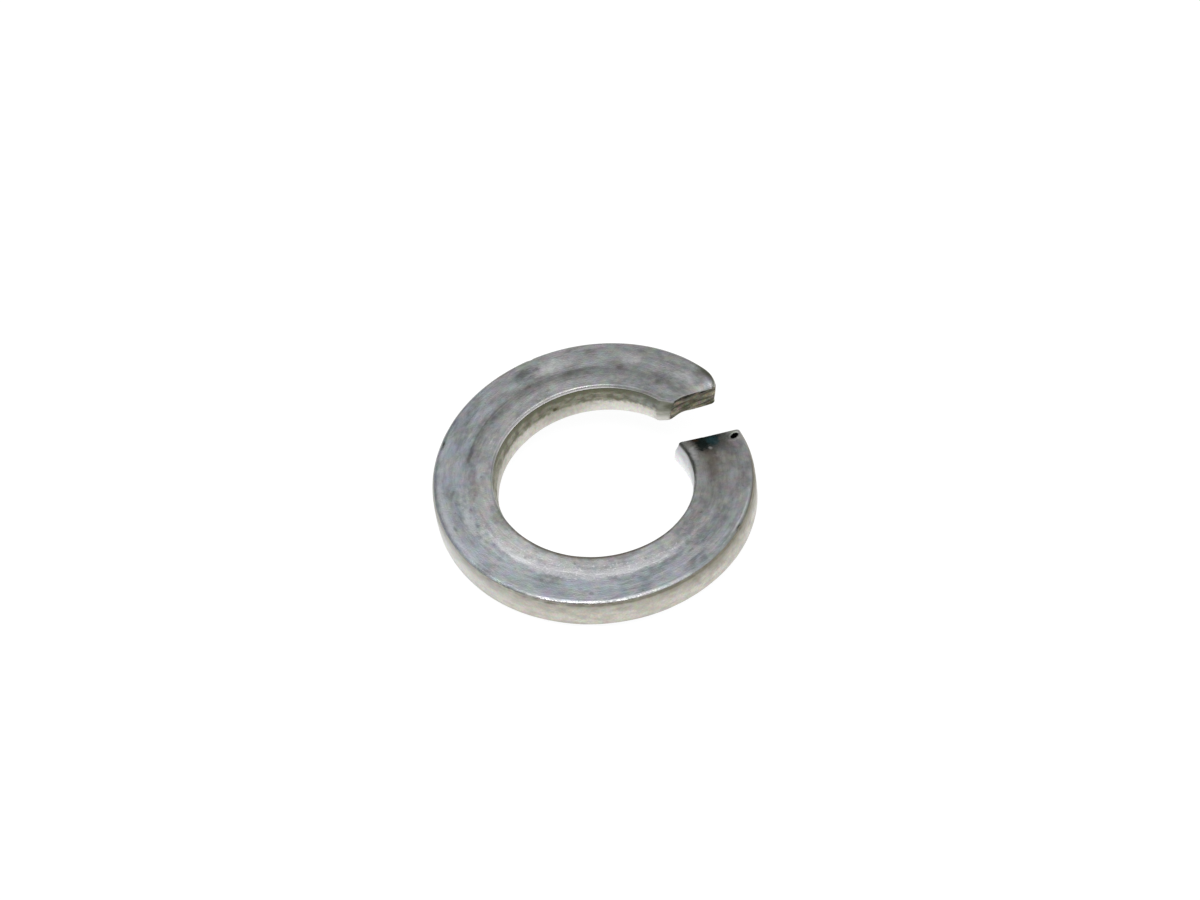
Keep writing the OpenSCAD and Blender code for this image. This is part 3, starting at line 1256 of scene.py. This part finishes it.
def wall_finish():
    material, shader, place, parts = new_finish("wall_steel")
    cloud = use("clouds", place, Size=0.4, Stretch=1.8, Contrast=0.7)
    colour = wall_colour(place, parts, cloud)
    colour = oiled_colour(place, colour, parts)
    colour = tinted(place, colour, size=0.25, strength=0.25)
    colour = stained(place, colour, FACET_STAINS + OUTER_STAINS)
    colour = layered(place, colour, WALL_SPECKS)
    put(shader.inputs["Base Color"], colour)
    put(shader.inputs["Roughness"], remap(cloud, 0, 1, *WALL_ROUGHNESS))
    lines = use("lines", place, Spacing=0.07, Length=1.6)
    grain = use("grain", place, Size=0.09)
    bumped(shader, times_plus(lines, WALL_LINE_HEIGHT, grain), WALL_BUMP)
    return material


washer.data.materials.append(wall_finish())
print("walls:", len(washer.data.materials[WALL].node_tree.nodes), "nodes")

# %% [markdown]
# ### The torn ends
#
# Torn steel is darker and rougher, an olive grey with lighter ridges across it, and painted
# shade makes it darkest right under the upper lip.

# %% Torn ends
TORN_DARK = (0.06, 0.057, 0.03)
TORN_LIGHT = (0.54, 0.50, 0.38)
TORN_LAYERS = [("clouds", {"Size": 0.4, "Stretch": 1, "Contrast": 0.9}, 0.5, (0.15, 0.155, 0.10))]
LIP_SHADE = (0.012, 0.012, 0.008)
LIP_SLOPE = 0.075
LIP_HIGH = (0.60, 0.80)
LIP_ACROSS = (3.4, 2.7)
LIP_LEAST = 0.5
LIP_SHARE = 0.95
TORN_ROUGHNESS = (0.5, 0.68)
RIDGE_BUMP = 2
TORN_BUMP = 0.018


def torn_finish():
    material, shader, place, parts = new_finish("torn_steel")
    quarter = {"Vector": place, "Axis": (0, 0, 1), "Angle": math.radians(90)}
    turned = add(place.id_data, "ShaderNodeVectorRotate", quarter)
    ridges = use("lines", turned.outputs[0], Spacing=0.26, Length=1.3)
    colour = layered(place, mix_colour(ridges, TORN_DARK, TORN_LIGHT), TORN_LAYERS)
    colour = tinted(place, colour, size=0.3, strength=0.5)
    # Painted shade: darkest right under the upper lip.
    lip_at = times_plus(parts[1], LIP_SLOPE, parts[2])
    lip_shade = times(remap(lip_at, *LIP_HIGH), remap(parts[1], *LIP_ACROSS))
    patchy = use("clouds", place, Size=0.35, Stretch=1, Contrast=0.9)
    lip_shade = times(lip_shade, times_plus(patchy, 1 - LIP_LEAST, LIP_LEAST))
    colour = mix_colour(times(lip_shade, LIP_SHARE), colour, LIP_SHADE)
    put(shader.inputs["Base Color"], colour)
    grain = use("grain", place, Size=0.06)
    put(shader.inputs["Roughness"], remap(grain, 0, 1, *TORN_ROUGHNESS))
    bumped(shader, times_plus(ridges, RIDGE_BUMP, grain), TORN_BUMP)
    return material


washer.data.materials.append(torn_finish())
print("torn ends:", len(washer.data.materials[TORN].node_tree.nodes), "nodes")

# %% [markdown]
# ## The table
#
# The table is a pale sheet. To the camera, and to rays that are mirrored or pass through, it
# shows as white, as a bright studio sweep does. A share of plain diffuse white keeps the
# washer's soft shadow.

# %% Table
TABLE_WIDTH = 1.0
TABLE_GLOW = 0.92
TABLE_WHITE = 0.17


def table_finish():
    material = bpy.data.materials.new("white_table")
    material.use_nodes = True
    tree = material.node_tree
    tree.nodes.clear()
    white = (TABLE_WHITE, TABLE_WHITE, TABLE_WHITE, 1)
    diffuse = add(tree, "ShaderNodeBsdfDiffuse", {"Color": white})
    path = add(tree, "ShaderNodeLightPath").outputs
    seen = maths("ADD", path["Is Camera Ray"], path["Is Glossy Ray"])
    seen = maths("ADD", seen, path["Is Transmission Ray"])
    glow = add(tree, "ShaderNodeEmission", {"Strength": times(seen, TABLE_GLOW)})
    both = add(tree, "ShaderNodeAddShader", {0: diffuse.outputs[0], 1: glow.outputs[0]})
    add(tree, "ShaderNodeOutputMaterial", {"Surface": both.outputs[0]})
    return material


def make_table():
    half = TABLE_WIDTH / 2
    z = float(lay_down(points)[:, 2].min())
    corners = [(-half, -half, z), (half, -half, z), (half, half, z), (-half, half, z)]
    mesh = bpy.data.meshes.new("table")
    mesh.from_pydata(corners, [], [(0, 1, 2, 3)])
    mesh.materials.append(table_finish())
    table = bpy.data.objects.new("table", mesh)
    bpy.context.scene.collection.objects.link(table)
    return table


table = make_table()
print(f"table {table.data.vertices[0].co.z / MM:.3f} mm below the origin")

# %% [markdown]
# ## Light
#
# Metal shows the room more than the lamps, so the room matters. It is white at the horizon,
# grey at the height that the top face mirrors, and lighter again overhead and to the right, with
# a darker stretch behind the camera that puts a dark line under each bright edge. One wide soft
# lamp hangs high in front and draws the thin highlights on the rounded edges.

# %% Room
HORIZON_END = 0.06
GREY_FROM = 0.22
GREY_LEVEL = 0.36
GREY_TINT = (0.97, 1, 1.04)
ZENITH_LEVEL = 0.9
ZENITH_RANGE = (0.62, 1.0)
BEHIND_CAMERA = (-0.3, -0.75)
BEHIND_DARK = (0.06, 0.06, 0.055)
BEHIND_SHARE = 0.75
RIGHT_RANGE = (-0.3, 0.6)
RIGHT_SHARE = 0.4
WHITE = (1, 1, 1)


def make_room():
    world = bpy.data.worlds.new("room")
    world.use_nodes = True
    tree = world.node_tree
    way = add(tree, "ShaderNodeTexCoord").outputs["Generated"]
    parts = add(tree, "ShaderNodeSeparateXYZ", {0: way}).outputs
    grey = tuple(GREY_LEVEL * share for share in GREY_TINT)
    overhead = remap(parts["Z"], *ZENITH_RANGE)
    colour = mix_colour(overhead, grey, (ZENITH_LEVEL, ZENITH_LEVEL, ZENITH_LEVEL))
    behind = remap(parts["Y"], *BEHIND_CAMERA)
    colour = mix_colour(times(behind, BEHIND_SHARE), colour, BEHIND_DARK)
    right = remap(parts["X"], *RIGHT_RANGE)
    colour = mix_colour(times(right, RIGHT_SHARE), colour, WHITE)
    horizon = remap(parts["Z"], GREY_FROM, HORIZON_END)
    colour = mix_colour(horizon, colour, WHITE)
    put(tree.nodes["Background"].inputs["Color"], colour)
    bpy.context.scene.world = world
    return world


world = make_room()
print("room:", world.name)

# %% Lamp
LAMP_WAY = (-0.15, -0.28, 0.95)
LAMP_DISTANCE = 0.5
LAMP_SIZE = (0.5, 0.2)
LAMP_RADIANCE = 3.0


def make_lamp():
    data = bpy.data.lights.new("soft_lamp", "AREA")
    data.shape = "RECTANGLE"
    data.size, data.size_y = LAMP_SIZE
    data.energy = LAMP_RADIANCE * math.pi * LAMP_SIZE[0] * LAMP_SIZE[1]
    lamp = bpy.data.objects.new("soft_lamp", data)
    lamp.location = Vector(LAMP_WAY).normalized() * LAMP_DISTANCE
    lamp.rotation_euler = Vector(LAMP_WAY).to_track_quat("Z", "Y").to_euler()
    bpy.context.scene.collection.objects.link(lamp)
    return lamp


lamp = make_lamp()
bpy.context.scene.view_settings.view_transform = "Standard"
print(f"lamp of {lamp.data.energy:.2f} W")
